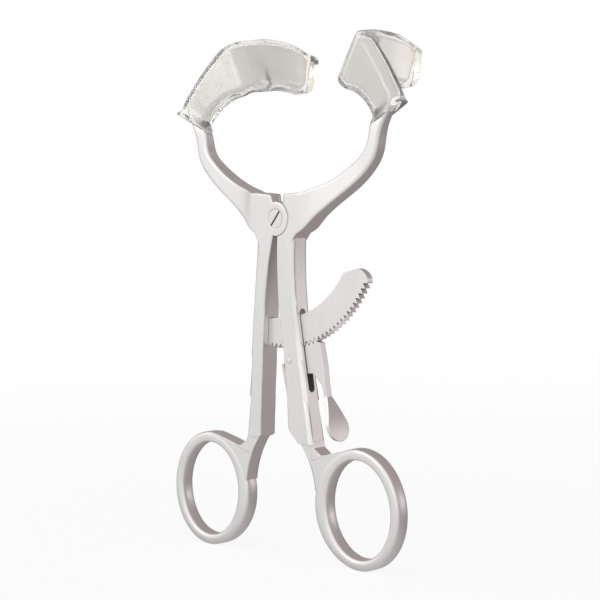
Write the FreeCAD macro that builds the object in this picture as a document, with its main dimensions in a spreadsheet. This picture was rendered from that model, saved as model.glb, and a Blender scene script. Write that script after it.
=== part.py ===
import FreeCAD, Part

import math
import os
import re

import Sketcher

# Mouth gag with two ratcheting halves. X is the width, Y runs from front to back, Z is up.
# The origin is on the pivot axis, in the middle of the steel's thickness.
# Sizes named left_ or right_ give a distance outwards from the pivot, without a sign.

SIZES = {
    # steel of both halves
    "steel_thick": 5.7,
    "ring_thick": 4.28,
    "lap_gap": 0.05,
    # heights of the shank's stations
    "shank_top_z": -5.0,
    "shank_upper_z": -14.0,
    "shank_waist_z": -26.0,
    "shank_lower_z": -41.0,
    "left_foot_z": -58.3,
    "right_foot_z": -58.7,
    "left_heel_z": -57.7,
    "right_heel_z": -55.2,
    # outer and inner edges of the shanks at those heights
    "left_outer_top": 6.86,
    "left_outer_upper": 7.62,
    "left_outer_waist": 8.85,
    "left_outer_lower": 10.1,
    "left_outer_foot": 11.48,
    "left_inner_top": 1.07,
    "left_inner_upper": 3.12,
    "left_inner_waist": 4.38,
    "left_inner_lower": 5.34,
    "left_inner_heel": 6.31,
    "right_outer_top": 6.45,
    "right_outer_upper": 6.25,
    "right_outer_waist": 7.1,
    "right_outer_lower": 9.4,
    "right_outer_foot": 12.1,
    "right_inner_top": 0.58,
    "right_inner_upper": 0.45,
    "right_inner_waist": 1.15,
    "right_inner_lower": 3.0,
    "right_inner_heel": 3.92,
    "foot_inner_x": 7.5,
    "outer_round": 1.0,
    "inner_round": 0.3,
    # joint block and the face where the arm begins
    "block_x": 7.4,
    "block_low_z": -3.9,
    "block_high_z": 6.8,
    "notch_x": 1.72,
    "notch_z": 6.32,
    "notch_foot_x": 0.86,
    "notch_foot_z": 4.2,
    "seat_notch_x": 3.36,
    "seat_notch_foot_x": 2.81,
    "boss_radius": 4.5,
    "seat_clearance": 0.15,
    # pivot screw
    "screw_head_radius": 2.45,
    "screw_head_thick": 1.3,
    "screw_shaft_radius": 1.6,
    "screw_clearance": 0.03,
    "screw_slot_width": 0.55,
    "screw_slot_depth": 0.7,
    "screw_slot_angle": 51.0,
    # finger rings
    "ring_x": 26.9,
    "ring_z": -74.17,
    "ring_half_width": 12.23,
    "ring_half_height": 14.24,
    "ring_bar": 2.83,
    "ring_tilt": 5.2,
    "ring_round": 1.3,
    # flat web between shank and ring
    "web_side_x": 10.4,
    "web_side_z": -62.9,
    "web_foot_x": 12.6,
    "web_foot_z": -70.5,
    "web_corner_x": 15.0,
    "web_corner_z": -61.4,
    "web_crown_x": 20.1,
    "web_crown_z": -59.85,
    "web_shoulder_x": 12.35,
    "web_shoulder_z": -59.6,
    "web_end_x": 25.7,
    "web_lap": 0.8,
    # ratchet bar
    "bar_thick": 2.0,
    "bar_inner_radius": 26.05,
    "bar_tip_radius": 34.2,
    "tooth_depth": 1.3,
    "tooth_pitch_angle": 2.65,
    "tooth_half_width": 0.75,
    "last_gap_angle": 60.55,
    "gap_count": 26,
    "bar_end_angle": 65.2,
    "bar_end_radius": 31.0,
    "bar_nose_angle": 7.0,
    "bar_nose_depth": 3.2,
    "bar_corner_cut": 0.6,
    "tab_high_z": -26.4,
    "tab_low_z": -33.5,
    "tab_start_x": 3.6,
    "tab_depth_x": 7.7,
    "mortise_clearance": 0.05,
    "bar_pin_x": 6.3,
    "bar_pin_z": -30.0,
    "bar_pin_radius": 1.0,
    # slot of the right shank
    "slot_width": 2.3,
    "slot_high_z": -23.5,
    "slot_low_drop": 8.2,
    # release lever
    "lever_thick": 1.9,
    "lever_pin_x": 4.48,
    "lever_pin_drop": 3.07023,
    "lever_pin_radius": 0.8,
    "lever_pin_clearance": 0.03,
    "lever_pin_dome": 0.35,
    "lever_boss_radius": 1.9,
    "lever_release": 9.5,
    "mesh_clearance": 0.12,
    "lever_tooth_count": 3,
    "lever_first_gap": 15,
    "lever_tooth_share": 0.86,
    "lever_collar": 0.3,
    "shoulder_angle": 2.5,
    "shoulder_drop": 0.6,
    "lever_side_x": 15.0,
    "lever_side_drop": 1.0,
    "neck_x": 15.5,
    "neck_drop": 6.0,
    "neck_width": 1.3,
    "lever_belly_x": 11.4,
    "lever_belly_drop": 3.1,
    "heel_x": 2.62,
    "heel_high_drop": 2.7,
    "heel_low_drop": 4.0,
    "paddle_thick": 1.0,
    "paddle_top_x": 15.6,
    "paddle_top_z": -46.0,
    "paddle_mid_x": 18.1,
    "paddle_mid_z": -51.6,
    "paddle_end_x": 19.6,
    "paddle_end_z": -57.3,
    "paddle_round": 3.75,
    # leaf spring
    "leaf_thick": 0.8,
    "leaf_width": 4.0,
    "leaf_top_drop": 1.2,
    "leaf_lift": 0.74,
    "leaf_overlap": 0.4,
    "leaf_bend_z": -46.5,
    "leaf_foot_z": -55.0,
    "leaf_gap": 0.1,
    "rivet_z": -52.3,
    "rivet_radius": 0.8,
    "rivet_head_radius": 1.35,
    "rivet_head_thick": 0.5,
    "rivet_length": 2.6,
    # jaw arm: centre, edge width, thickness, depth and slant of each station
    "arm_low_x": 11.45,
    "arm_low_z": 3.65,
    "arm_low_width": 7.8,
    "arm_low_slant": 10.0,
    "arm_low_thick": 5.5,
    "arm_low_y": 0.7,
    "arm_mid_x": 14.25,
    "arm_mid_z": 5.3,
    "arm_mid_width": 6.2,
    "arm_mid_slant": 20.0,
    "arm_mid_thick": 5.1,
    "arm_mid_y": 1.15,
    "arm_high_x": 23.0,
    "arm_high_z": 10.25,
    "arm_high_width": 4.5,
    "arm_high_slant": 39.0,
    "arm_high_thick": 4.8,
    "arm_high_y": 2.15,
    "elbow_x": 26.85,
    "elbow_z": 13.2,
    "elbow_width": 4.25,
    "elbow_slant": 46.0,
    "elbow_thick": 4.3,
    "elbow_y": 2.3,
    "wrist_x": 30.05,
    "wrist_z": 17.1,
    "wrist_width": 3.85,
    "wrist_slant": 66.0,
    "wrist_thick": 4.0,
    "wrist_y": 2.35,
    "throat_back": 4.74,
    "throat_inset": 6.35,
    "throat_width": 3.85,
    "throat_slant": 93.0,
    "throat_thick": 3.8,
    "throat_y": 2.4,
    "mouth_back": 2.93,
    "mouth_inset": 4.0,
    "mouth_width": 5.0,
    "mouth_slant": 104.0,
    "mouth_thick": 3.4,
    "mouth_y": 2.35,
    "arm_round": 0.3,
    "blade_round": 1.0,
    # blade: a strip that follows an arc, bends backwards and runs to its tip
    "blade_centre_x": 7.3,
    "blade_centre_z": 11.75,
    "blade_radius": 31.8,
    "blade_root_width": 7.2,
    "blade_crease_width": 12.4,
    "blade_tip_width": 9.8,
    "blade_thick": 2.6,
    "blade_start_angle": 57.0,
    "blade_end_angle": 28.5,
    "blade_bend_radius": 3.3,
    "blade_base_y": 3.95,
    "blade_base_z": 22.6,
    "blade_slope": 0.045,
    "blade_sweep": 0.0017,
    "blade_lean": 0.14,
    "blade_lean_x": 24.0,
    "crease_tilt": 14.7,
    "plate_rise": 0.9,
    "plate_drop": 4.4,
    "plate_tip_x": 19.1,
    "plate_tip_y": 35.3,
    "tip_top_y": 32.8,
    "tip_top_z": 43.6,
    "tip_low_y": 31.4,
    "tip_low_z": 38.8,
    "tip_heel_y": 27.2,
    "tip_heel_z": 34.2,
    "tip_belly": 1.0,
    "tip_brow_y": 1.6,
    "tip_brow_z": 2.0,
    "tip_taper": 0.4,
    # silicone sleeve
    "sleeve_wall": 1.2,
    "sleeve_tip": 3.2,
    "sleeve_mouth_angle": 62.4,
    "sleeve_mouth_width": 13.6,
    "sleeve_mouth_radius": 31.2,
    "sleeve_mouth_thick": 4.4,
    "sleeve_mouth_shift": 0.4,
    "sleeve_round": 1.6,
}

doc = FreeCAD.newDocument("MouthGag")
sheet = doc.addObject("Spreadsheet::Sheet", "Sizes")
for row, (alias, value) in enumerate(SIZES.items(), start=1):
    sheet.set("A%d" % row, alias)
    sheet.set("B%d" % row, str(value))
    sheet.setAlias("B%d" % row, alias)
doc.recompute()

SIDES = {"left": -1, "right": 1}
# A turn whose axis is set before a formula gives its angle
UPRIGHT_TURN = FreeCAD.Rotation(FreeCAD.Vector(0, 0, 1), 45)


def size(formula):
    """Value of a formula made of names in the sheet."""
    return float(sheet.evalExpression(formula))


def bound(formula):
    """The same formula as an object of the document reads it."""
    def full_name(word):
        return "Sizes." + word.group() if word.group() in SIZES else word.group()
    return re.sub(r"[a-z]\w*", full_name, formula)


def bind(thing, name, formula):
    """Ties one property of an object to the sheet."""
    thing.setExpression(name, bound(formula))


def new_body(name):
    body = doc.addObject("PartDesign::Body", name)
    body.Label = name
    return body


def new_sketch(body, name, plane="XZ_Plane", lift=None):
    """Empty sketch on one of the body's own planes, raised along its normal by a formula."""
    sketch = body.newObject("Sketcher::SketchObject", name)
    origin_plane = [entry for entry in body.Origin.OriginFeatures if entry.Role == plane][0]
    sketch.AttachmentSupport = (origin_plane, [""])
    sketch.MapMode = "FlatFace"
    if lift is not None:
        bind(sketch, "AttachmentOffset.Base.z", lift)
    return sketch


def pin_point(sketch, geometry, end, point):
    """Holds one point of a sketch at a pair of formulas."""
    for axis, formula in zip(("DistanceX", "DistanceY"), point):
        index = sketch.addConstraint(Sketcher.Constraint(axis, -1, 1, geometry, end, size(formula)))
        sketch.setExpression("Constraints[%d]" % index, bound(formula))


def outline(sketch, points):
    """Closed outline. A point with a third entry is passed by an arc, the others are corners."""
    places = [FreeCAD.Vector(size(point[0]), size(point[1]), 0) for point in points]
    count = len(points)
    start = 0
    edges = []
    while start < count:
        passes = len(points[(start + 1) % count]) == 3
        finish = start + 2 if passes else start + 1
        first, last = places[start], places[finish % count]
        if passes:
            edge = sketch.addGeometry(Part.Arc(first, places[start + 1], last), False)
            middle = sketch.addGeometry(Part.Point(places[start + 1]), True)
            sketch.addConstraint(Sketcher.Constraint("PointOnObject", middle, 1, edge))
            pin_point(sketch, middle, 1, points[start + 1])
        else:
            edge = sketch.addGeometry(Part.LineSegment(first, last), False)
        head = 1 if sketch.getPoint(edge, 1).distanceToPoint(first) < 1e-6 else 2
        edges.append((edge, head))
        pin_point(sketch, edge, head, points[start])
        start = finish
    for (edge, head), (following, entry) in zip(edges, edges[1:] + edges[:1]):
        sketch.addConstraint(Sketcher.Constraint("Coincident", edge, 3 - head, following, entry))
    return sketch


def circle(sketch, centre, radius):
    """Round hole or boss, its centre and radius given by formulas."""
    middle = FreeCAD.Vector(size(centre[0]), size(centre[1]), 0)
    edge = sketch.addGeometry(Part.Circle(middle, FreeCAD.Vector(0, 0, 1), size(radius)), False)
    index = sketch.addConstraint(Sketcher.Constraint("Radius", edge, size(radius)))
    sketch.setExpression("Constraints[%d]" % index, bound(radius))
    if centre == ("0", "0"):
        sketch.addConstraint(Sketcher.Constraint("Coincident", edge, 3, -1, 1))
    else:
        pin_point(sketch, edge, 3, centre)
    return sketch


def extrude(body, kind, sketch, name, length=None, both=True, reverse=False):
    """Pad or pocket of a sketch: both ways from its plane, or one way."""
    feature = body.newObject("PartDesign::" + kind, name)
    feature.Profile = sketch
    if length is None:
        feature.Type = "ThroughAll"
    else:
        bind(feature, "Length", length)
    if both:
        feature.SideType = "Symmetric"
    feature.Reversed = reverse
    sketch.Visibility = False
    before = 0.0 if body.Shape.isNull() else body.Shape.Volume
    doc.recompute()
    if kind == "Pocket" and not body.Shape.Volume < before - 1e-6:
        raise RuntimeError(name + " cuts nothing")
    return feature


def round_edges(body, name, radius, chosen):
    """Fillet on the edges that a test picks."""
    base = body.Tip
    names = ["Edge%d" % (number + 1) for number, edge in enumerate(base.Shape.Edges) if chosen(edge)]
    if not names:
        raise RuntimeError(name + " finds no edge")
    fillet = body.newObject("PartDesign::Fillet", name)
    fillet.Base = (base, names)
    bind(fillet, "Radius", radius)
    doc.recompute()
    return fillet


def outward(side, points):
    """Points given outwards from the pivot, turned to the left or right side."""
    return [("%d * (%s)" % (SIDES[side], point[0]),) + point[1:] for point in points]


def middle_of(edge):
    return edge.valueAt((edge.FirstParameter + edge.LastParameter) / 2)


# Finger ring, web and shank of one half

def add_ring(body, side):
    """Oval ring, rounded all round."""
    sketch = new_sketch(body, side + "_ring_sketch")
    sketch.AttachmentOffset = FreeCAD.Placement(FreeCAD.Vector(), UPRIGHT_TURN)
    bind(sketch, "AttachmentOffset.Base.x", "%d * ring_x" % SIDES[side])
    bind(sketch, "AttachmentOffset.Base.y", "ring_z")
    bind(sketch, "AttachmentOffset.Rotation.Angle", "%d * ring_tilt" % SIDES[side])
    for share in ("+ ring_bar / 2", "- ring_bar / 2"):
        tall = "ring_half_height " + share
        wide = "ring_half_width " + share
        top, side_end = FreeCAD.Vector(0, size(tall), 0), FreeCAD.Vector(-size(wide), 0, 0)
        oval = Part.Ellipse(top, side_end, FreeCAD.Vector())
        edge = sketch.addGeometry(oval, False)
        sketch.exposeInternalGeometry(edge)
        sketch.addConstraint(Sketcher.Constraint("Coincident", edge, 3, -1, 1))
        sketch.addConstraint(Sketcher.Constraint("Vertical", edge + 1))
        for line, half in ((edge + 1, tall), (edge + 2, wide)):
            index = sketch.addConstraint(Sketcher.Constraint("Distance", line, 2 * size(half)))
            sketch.setExpression("Constraints[%d]" % index, bound("2 * (%s)" % half))
    extrude(body, "Pad", sketch, side + "_ring_pad", "ring_thick")
    flat = size("ring_thick / 2")
    round_edges(body, side + "_ring_rounding", "ring_round",
                lambda edge: abs(abs(middle_of(edge).y) - flat) < 1e-4)


def add_web(body, side):
    """Flat web that joins the ring to the shank."""
    points = outward(side, [
        ("foot_inner_x + web_lap", side + "_foot_z + web_lap"),
        ("foot_inner_x", side + "_foot_z"),
        ("web_side_x", "web_side_z", "arc"),
        ("web_foot_x", "web_foot_z"),
        ("ring_x - ring_half_width", "web_foot_z - web_lap"),
        ("ring_x - ring_half_width * 0.78", "ring_z + ring_half_height * 0.65", "arc"),
        ("web_end_x", "ring_z + ring_half_height"),
        ("web_end_x", "ring_z + ring_half_height + ring_bar * 0.48"),
        ("web_crown_x", "web_crown_z", "arc"),
        ("web_corner_x", "web_corner_z"),
        ("web_shoulder_x", "web_shoulder_z"),
        (side + "_outer_foot - web_lap / 8", side + "_foot_z + web_lap"),
    ])
    sketch = outline(new_sketch(body, side + "_web_sketch"), points)
    extrude(body, "Pad", sketch, side + "_web_pad", "ring_thick")


def add_shank(body, side):
    """Shank with the full-thickness block of the joint."""
    edge = side + "_outer_"
    inner = side + "_inner_"
    points = outward(side, [
        ("notch_foot_x", "notch_foot_z"),
        ("notch_foot_x", "0"),
        (inner + "top", "shank_top_z"),
        (inner + "upper", "shank_upper_z", "arc"),
        (inner + "waist", "shank_waist_z"),
        (inner + "lower", "shank_lower_z", "arc"),
        (inner + "heel", side + "_heel_z"),
        ("foot_inner_x", side + "_foot_z"),
        (edge + "foot", side + "_foot_z"),
        (edge + "lower", "shank_lower_z", "arc"),
        (edge + "waist", "shank_waist_z"),
        (edge + "upper", "shank_upper_z", "arc"),
        (edge + "top", "shank_top_z"),
        ("block_x", "block_low_z"),
        ("block_x", "block_high_z"),
        ("notch_x", "notch_z"),
    ])
    extrude(body, "Pad", outline(new_sketch(body, side + "_shank_sketch"), points), side + "_shank_pad",
            "steel_thick")
    front = size("steel_thick / 2")
    for kind in ("outer", "inner"):
        reach = [size("%s_%s_%s" % (side, kind, place)) for place in ("top", "upper", "waist", "lower")]

        def long_edge(edge, reach=reach):
            point = middle_of(edge)
            near = min(reach[0], reach[1]) - 0.3 < abs(point.x) < max(reach) + 0.8 and edge.Length > 15
            return near and abs(abs(point.y) - front) < 1e-4
        round_edges(body, "%s_%s_rounding" % (side, kind), kind + "_round", long_edge)


def add_joint(body, side):
    """Half of the lap joint: a round boss on one layer and the other half's seat in the other layer."""
    to_front = SIDES[side] < 0
    lift = "%d * lap_gap / 2" % (1 if to_front else -1)
    seat = circle(new_sketch(body, side + "_seat_sketch", lift=lift), ("0", "0"),
                  "boss_radius + seat_clearance")
    extrude(body, "Pocket", seat, side + "_seat", "steel_thick", both=False, reverse=not to_front)
    corner = outline(new_sketch(body, side + "_notch_sketch", lift=lift), outward(side, [
        ("0", "notch_foot_z - 1"),
        ("seat_notch_foot_x", "notch_foot_z - 0.3"),
        ("seat_notch_x", "notch_z + 0.5"),
        ("0", "notch_z + 0.5"),
    ]))
    extrude(body, "Pocket", corner, side + "_notch", "steel_thick", both=False, reverse=not to_front)
    boss = circle(new_sketch(body, side + "_boss_sketch", lift=lift), ("0", "0"), "boss_radius")
    extrude(body, "Pad", boss, side + "_boss", "(steel_thick - lap_gap) / 2", both=False,
            reverse=not to_front)


def left_openings(body):
    """Countersunk seat and bore for the pivot screw, mortise for the ratchet bar and its pin hole."""
    bore = circle(new_sketch(body, "left_bore_sketch"), ("0", "0"), "screw_shaft_radius + screw_clearance")
    extrude(body, "Pocket", bore, "left_bore")
    floor = "steel_thick / 2 - screw_head_thick - screw_clearance"
    recess = circle(new_sketch(body, "left_recess_sketch", lift=floor), ("0", "0"),
                    "screw_head_radius + screw_clearance")
    extrude(body, "Pocket", recess, "left_recess", "steel_thick", both=False, reverse=True)
    mortise = outline(new_sketch(body, "left_mortise_sketch"), outward("left", [
        ("0", "tab_low_z - mortise_clearance"),
        ("tab_depth_x + mortise_clearance", "tab_low_z - mortise_clearance"),
        ("tab_depth_x + mortise_clearance", "tab_high_z + mortise_clearance"),
        ("0", "tab_high_z + mortise_clearance"),
    ]))
    extrude(body, "Pocket", mortise, "left_mortise", "bar_thick + 2 * mortise_clearance")
    pin = circle(new_sketch(body, "left_pin_sketch"), ("-bar_pin_x", "bar_pin_z"), "bar_pin_radius")
    extrude(body, "Pocket", pin, "left_pin_hole")


LEVER_PIN = ("lever_pin_x", "(-sqrt((bar_tip_radius + lever_pin_drop) ^ 2 - lever_pin_x ^ 2))")
SLOT_LOW = LEVER_PIN[1] + " - slot_low_drop"


def right_openings(body):
    """Threaded hole for the pivot screw, long slot for the bar and lever, pin hole and rivet hole."""
    bore = circle(new_sketch(body, "right_bore_sketch"), ("0", "0"), "screw_shaft_radius")
    extrude(body, "Pocket", bore, "right_bore")
    slot = outline(new_sketch(body, "right_slot_sketch", "YZ_Plane"), [
        ("slot_width / 2", SLOT_LOW + " + slot_width / 2"),
        ("slot_width / 2", "slot_high_z - slot_width / 2"),
        ("0", "slot_high_z", "arc"),
        ("-slot_width / 2", "slot_high_z - slot_width / 2"),
        ("-slot_width / 2", SLOT_LOW + " + slot_width / 2"),
        ("0", SLOT_LOW, "arc"),
    ])
    extrude(body, "Pocket", slot, "right_slot")
    pin = circle(new_sketch(body, "right_pin_sketch"), LEVER_PIN, "lever_pin_radius")
    extrude(body, "Pocket", pin, "right_pin_hole")
    rivet = circle(new_sketch(body, "right_rivet_sketch", "YZ_Plane"), ("0", "rivet_z"), "rivet_radius")
    extrude(body, "Pocket", rivet, "right_rivet_hole", "right_inner_heel + rivet_length", both=False,
            reverse=True)


# Jaw arm, blade and sleeve: sections set along the strip

def section(centre, across, thick_way, width, thick, corner):
    """Rounded rectangle as a closed wire, its long side along one vector."""
    corner = min(corner, 0.45 * thick, 0.45 * width)
    long_half, short_half = width / 2, thick / 2
    slack = corner * (1 - math.sqrt(0.5))

    def place(along, through):
        return centre + across * along + thick_way * through
    edges = []
    for sign_along, sign_through in ((1, 1), (-1, 1), (-1, -1), (1, -1)):
        before = place(sign_along * long_half, sign_through * (short_half - corner))
        after = place(sign_along * (long_half - corner), sign_through * short_half)
        bulge = place(sign_along * (long_half - slack), sign_through * (short_half - slack))
        if sign_along != sign_through:
            before, after = after, before
        edges.append((before, bulge, after))
    wire = []
    for (before, bulge, after), (entry, _, _) in zip(edges, edges[1:] + edges[:1]):
        wire.append(Part.Arc(before, bulge, after).toShape())
        wire.append(Part.LineSegment(after, entry).toShape())
    return Part.Wire(wire)


def blade_depth(point):
    """How far back the middle of the strip lies at a place seen from the front."""
    rise = point.z - size("blade_base_z")
    curve = size("blade_slope") * rise + size("blade_sweep") * rise * rise
    return size("blade_base_y") + curve + size("blade_lean") * (size("blade_lean_x") - point.x)


def strip_place(angle, inset=0.0):
    """Point on the strip's own arc, and the directions outwards and along the strip there."""
    turn = math.radians(angle)
    way_out = FreeCAD.Vector(math.sin(turn), 0, math.cos(turn))
    heading = FreeCAD.Vector(-math.cos(turn), 0, math.sin(turn))
    middle = FreeCAD.Vector(size("blade_centre_x"), 0, size("blade_centre_z"))
    return middle + way_out * (size("blade_radius") - inset), way_out, heading


def arm_sections():
    """Sections of the arm from the joint block to the sleeve's mouth, each from its named station."""
    root = FreeCAD.Vector(size("block_x"), 0, size("(block_low_z + block_high_z) / 2"))
    rows = [(root, 0.0, size("block_high_z - block_low_z"), size("steel_thick"), size("arm_round"))]
    names = ("arm_low", "arm_mid", "arm_high", "elbow", "wrist", "throat", "mouth")
    for number, name in enumerate(names, start=1):
        if name in ("throat", "mouth"):
            centre, _, heading = strip_place(size("blade_start_angle"), size(name + "_inset"))
            centre = centre - heading * size(name + "_back")
        else:
            centre = FreeCAD.Vector(size(name + "_x"), 0, size(name + "_z"))
        centre.y = size(name + "_y")
        share = max(0.0, (number - 2) / (len(names) - 2))
        corner = size("arm_round") + share * size("blade_round - arm_round")
        rows.append((centre, size(name + "_slant"), size(name + "_width"), size(name + "_thick"), corner))
    frames = []
    for centre, slant, width, thick, corner in rows:
        angle = math.radians(slant)
        across = FreeCAD.Vector(math.sin(angle), 0, -math.cos(angle))
        frames.append((centre, across, FreeCAD.Vector(0, 1, 0), width, thick, corner))
    return frames


def strip_frames(start_angle, grow, corner):
    """Frames of the strip: along its arc, round the backward bend and along the plate to the tip."""
    root_width = size("blade_root_width") + 2 * grow
    crease_width = size("blade_crease_width") + 2 * grow
    tip_width = size("blade_tip_width") + 2 * grow
    thick = size("blade_thick") + 2 * grow
    frames = []
    steps = 6
    for number in range(steps + 1):
        share = number / steps
        angle = start_angle + (size("blade_end_angle") - start_angle) * share
        width = root_width + (crease_width - root_width) * share ** 2
        middle, way_out, heading = strip_place(angle)
        ends = [middle + way_out * (reach * width) for reach in (-0.5, 0.5)]
        for end in ends:
            end.y = blade_depth(end)
        across = (ends[1] - ends[0]).normalize()
        back = heading.cross(across)
        back = (back * (1 if back.y > 0 else -1)).normalize()
        frames.append(((ends[0] + ends[1]) * 0.5, across, back, width, thick, corner))
    centre, across, back, _, _, _ = frames[-1]
    along = across.cross(back)
    along = along * (1 if along.x < 0 else -1)
    radius = size("blade_bend_radius")
    pivot = centre + back * radius
    tilt_in = math.atan2(across.x, across.z)
    tilt_crease = math.radians(size("crease_tilt"))
    turns = 4
    for number in range(1, turns + 1):
        share = number / turns
        turn = math.pi / 2 * share
        point = pivot - back * (radius * math.cos(turn)) + along * (radius * math.sin(turn))
        outer = back * math.cos(turn) - along * math.sin(turn)
        tilt = tilt_in + (tilt_crease - tilt_in) * share
        lean = FreeCAD.Vector(math.sin(tilt), across.y * (1 - share), math.cos(tilt))
        lean = (lean - outer * lean.dot(outer)).normalize()
        frames.append((point, lean, outer, crease_width, thick, corner))
    crease = frames[-1][0]
    runs = 6
    for number in range(1, runs + 1):
        share = number / runs
        depth = crease.y + (size("plate_tip_y") - crease.y) * share
        height = crease.z + size("plate_rise") * math.sin(math.pi * share) - size("plate_drop") * share ** 3
        reach = crease.x + (size("plate_tip_x") - crease.x) * share
        width = crease_width + (tip_width - crease_width) * share
        tilt = tilt_crease * (1 - share)
        lean = FreeCAD.Vector(math.sin(tilt), 0, math.cos(tilt))
        outer = FreeCAD.Vector(math.cos(tilt), 0, -math.sin(tilt))
        frames.append((FreeCAD.Vector(reach, depth, height), lean, outer, width, thick, corner))
    return frames


def mirrored_loft(frames, side):
    """Solid through all sections, on the left or right side."""
    solid = Part.makeLoft([section(*frame) for frame in frames], True, False)
    if side == "left":
        solid = solid.mirror(FreeCAD.Vector(), FreeCAD.Vector(1, 0, 0))
    return solid


def tip_profile(inset):
    """Prism along X whose side view holds the blade up to its rounded tip."""
    taper = size("tip_taper") * inset
    tip_low = FreeCAD.Vector(0, size("tip_low_y") - inset, size("tip_low_z"))
    tip_top = FreeCAD.Vector(0, size("tip_top_y") - inset, size("tip_top_z"))
    heel = FreeCAD.Vector(0, size("tip_heel_y") - inset, size("tip_heel_z") + 0.5 * inset)
    belly = (heel + tip_low) * 0.5 + FreeCAD.Vector(0, size("tip_belly"), -size("tip_belly"))
    crown = FreeCAD.Vector(0, tip_top.y - size("tip_brow_y"), tip_top.z + size("tip_brow_z") - taper)
    brow = tip_top + FreeCAD.Vector(0, -size("tip_brow_y") / 8, 0.7 * size("tip_brow_z") - taper)
    far = 80.0
    corners = [FreeCAD.Vector(0, crown.y, far), FreeCAD.Vector(0, -far, far),
               FreeCAD.Vector(0, -far, -far), FreeCAD.Vector(0, heel.y, -far), heel]
    edges = [Part.Arc(heel, belly, tip_low).toShape(), Part.makeLine(tip_low, tip_top),
             Part.Arc(tip_top, brow, crown).toShape(), Part.makeLine(crown, corners[0])]
    edges += [Part.makeLine(first, last) for first, last in zip(corners, corners[1:])]
    face = Part.Face(Part.Wire(Part.__sortEdges__(edges)))
    return face.extrude(FreeCAD.Vector(2 * far, 0, 0)).translated(FreeCAD.Vector(-far, 0, 0))


def blade_shape(side):
    frames = arm_sections() + strip_frames(size("blade_start_angle"), 0.0, size("blade_round"))
    return mirrored_loft(frames, side).common(tip_profile(size("sleeve_tip")))


def sleeve_shape(side):
    """Outer form of the sleeve, flared at its mouth."""
    frames = strip_frames(size("sleeve_mouth_angle"), size("sleeve_wall"), size("sleeve_round"))
    centre, across, back, _, _, corner = frames[0]
    centre = centre - across * size("blade_radius - sleeve_mouth_radius") - back * size("sleeve_mouth_shift")
    frames[0] = (centre, across, back, size("sleeve_mouth_width"), size("sleeve_mouth_thick"), corner)
    return mirrored_loft(frames, side).common(tip_profile(0.0))


def part_feature(name, shape):
    feature = doc.addObject("Part::Feature", name)
    feature.Shape = shape
    return feature


def make_half(side):
    """One forging: ring, web, shank and joint, with its jaw arm and blade."""
    ring = new_body(side + "_ring")
    add_ring(ring, side)
    body = new_body(side + "_forging")
    add_shank(body, side)
    add_web(body, side)
    add_joint(body, side)
    if side == "left":
        left_openings(body)
    else:
        right_openings(body)
    blade = part_feature(side + "_blade", blade_shape(side))
    half = doc.addObject("Part::MultiFuse", side + "_half")
    half.Shapes = [body, ring, blade]
    doc.recompute()
    return half


# Screw, bar and pins

def make_screw():
    body = new_body("pivot_screw")
    front = "-steel_thick / 2"
    sketch = outline(new_sketch(body, "screw_sketch", "XY_Plane"), [
        ("0", front),
        ("screw_head_radius", front),
        ("screw_head_radius", front + " + screw_head_thick"),
        ("screw_shaft_radius", front + " + screw_head_thick"),
        ("screw_shaft_radius", "steel_thick / 2"),
        ("0", "steel_thick / 2"),
    ])
    turned = body.newObject("PartDesign::Revolution", "screw_turned")
    turned.Profile = sketch
    turned.ReferenceAxis = (sketch, ["V_Axis"])
    turned.Angle = 360
    doc.recompute()
    slot = new_sketch(body, "screw_slot_sketch", lift="steel_thick / 2 - screw_slot_depth")
    half_long = "(screw_head_radius + 1)"
    slot.AttachmentOffset = FreeCAD.Placement(slot.AttachmentOffset.Base, UPRIGHT_TURN)
    bind(slot, "AttachmentOffset.Rotation.Angle", "screw_slot_angle")
    outline(slot, [
        ("-" + half_long, "-screw_slot_width / 2"),
        (half_long, "-screw_slot_width / 2"),
        (half_long, "screw_slot_width / 2"),
        ("-" + half_long, "screw_slot_width / 2"),
    ])
    extrude(body, "Pocket", slot, "screw_slot", "steel_thick", both=False, reverse=True)
    return body


def polar(radius, angle):
    """Point at a radius from the pivot, its angle counted from straight down towards the right."""
    return ("(%s) * sin(%s)" % (radius, angle), "-(%s) * cos(%s)" % (radius, angle))


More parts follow.
